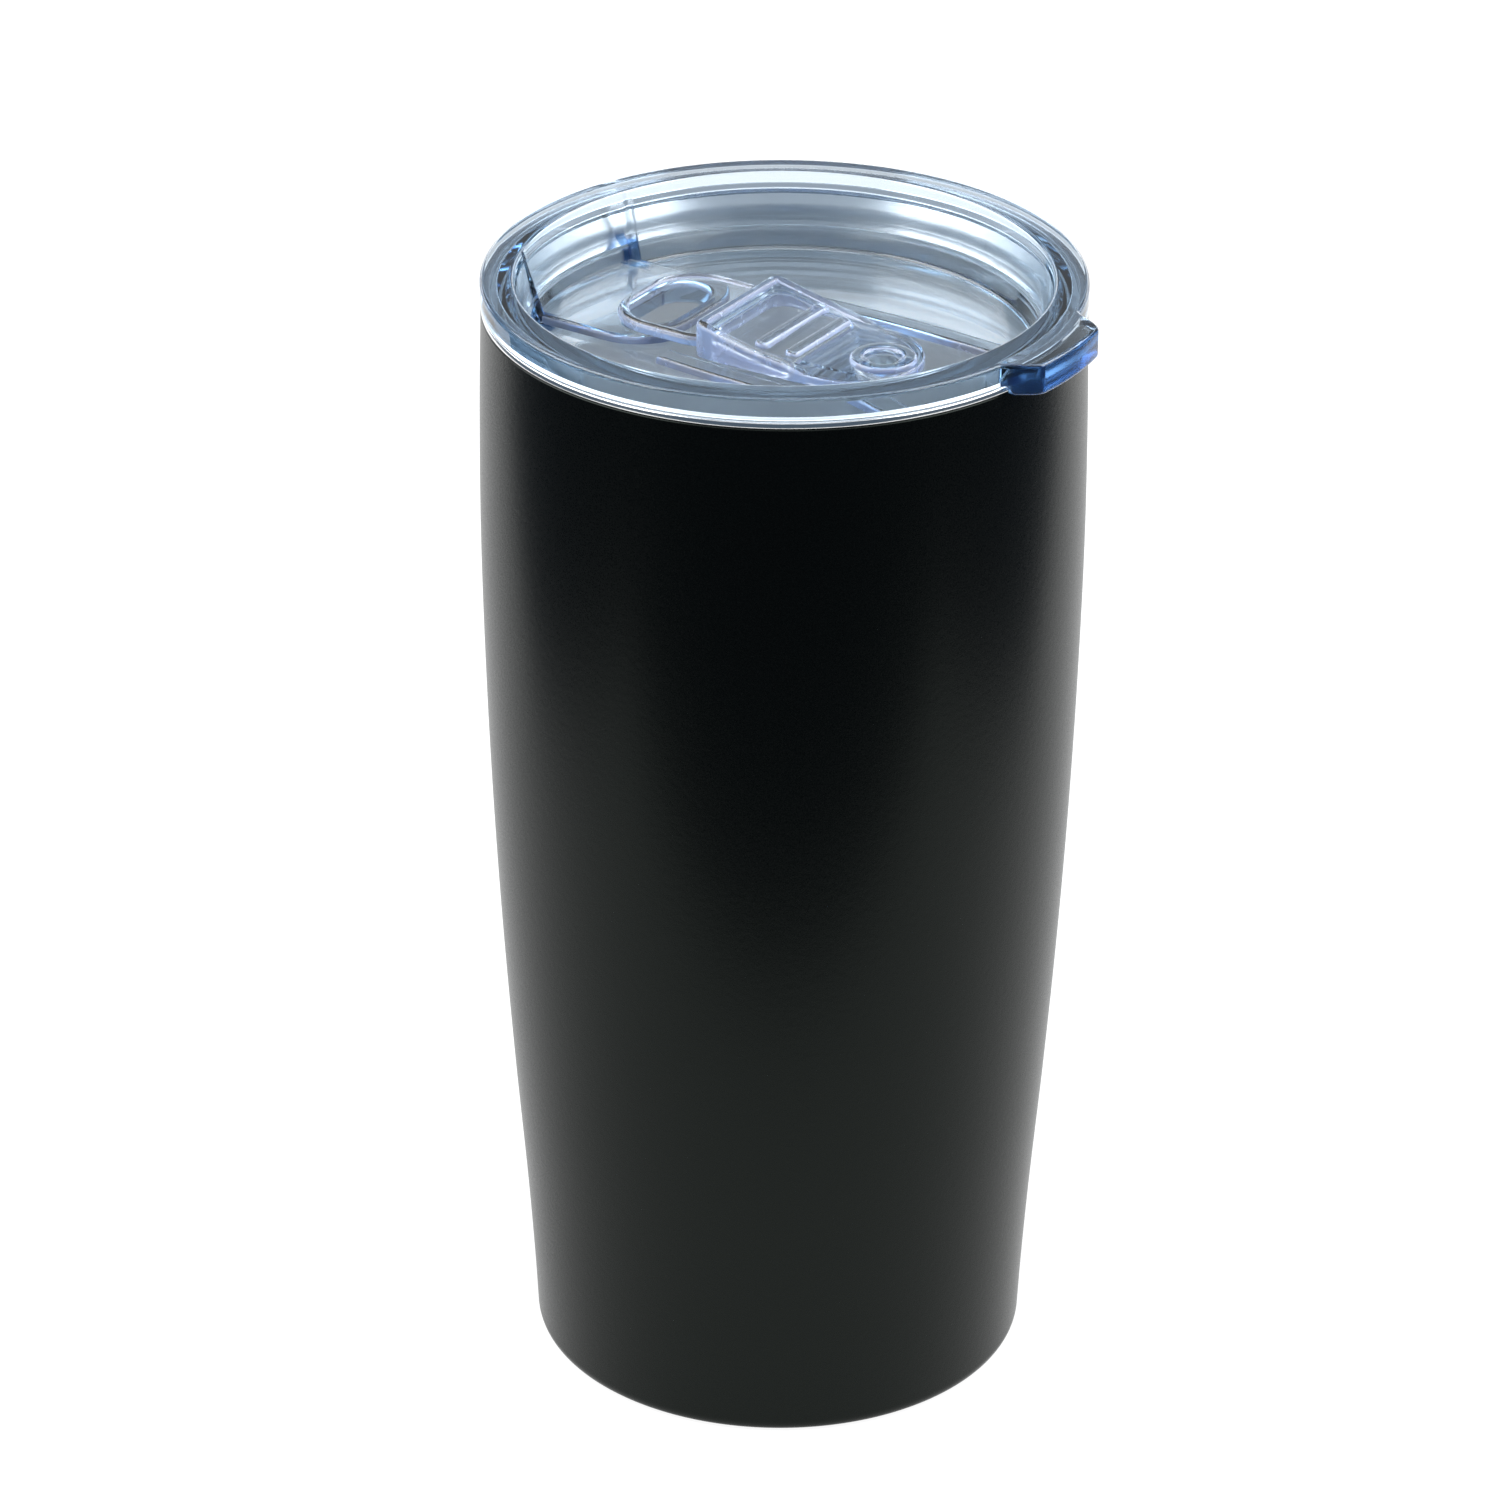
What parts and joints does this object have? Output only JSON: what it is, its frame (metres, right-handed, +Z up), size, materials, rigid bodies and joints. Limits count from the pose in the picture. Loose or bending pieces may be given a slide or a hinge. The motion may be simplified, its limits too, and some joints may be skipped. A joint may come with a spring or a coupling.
{
  "type": "insulated tumbler with lid",
  "caption": "Tapered vacuum-insulated steel drinking tumbler with a coated outside and a clear press-in lid, whose thumb slider covers and uncovers the drinking hole.",
  "frame": {"origin": "on the axis of the cup, in the plane that its foot stands on", "axes": "+Z up along the axis of the cup; +X towards the thumb tab of the lid, which is the way the slider opens; the drinking hole is towards -X"},
  "size_m": [0.0937, 0.0898, 0.1759],
  "materials": {
    "powder_coat": "matte black powder coat with a very fine grain",
    "steel": "turned and brushed stainless steel",
    "sealant": "fused bead",
    "getter_metal": "pressed grey powder",
    "clear_plastic": "polished clear plastic with a faint blue tint",
    "clear_rubber": "soft translucent silicone"
  },
  "bodies": {
    "tumbler": {"outer_shell": "powder_coat", "outer_base": "steel", "base_cover": "powder_coat", "vacuum_seal": "sealant", "inner_liner": "steel", "getter_holder": "steel", "getter_ring": "getter_metal"},
    "lid": {"lid_body": "clear_plastic", "lid_gasket": "clear_rubber"},
    "slider": {"slider": "clear_plastic", "slider_retainer": "clear_plastic"}
  },
  "joints": [
    {"name": "lid_lift", "type": "slide", "parent": "tumbler", "child": "lid", "axis": [0, 0, 1], "range_m": [0, 0.12]},
    {"name": "slider_slide", "type": "slide", "parent": "lid", "child": "slider", "axis": [1, 0, 0], "range_m": [0, 0.011]}
  ]
}
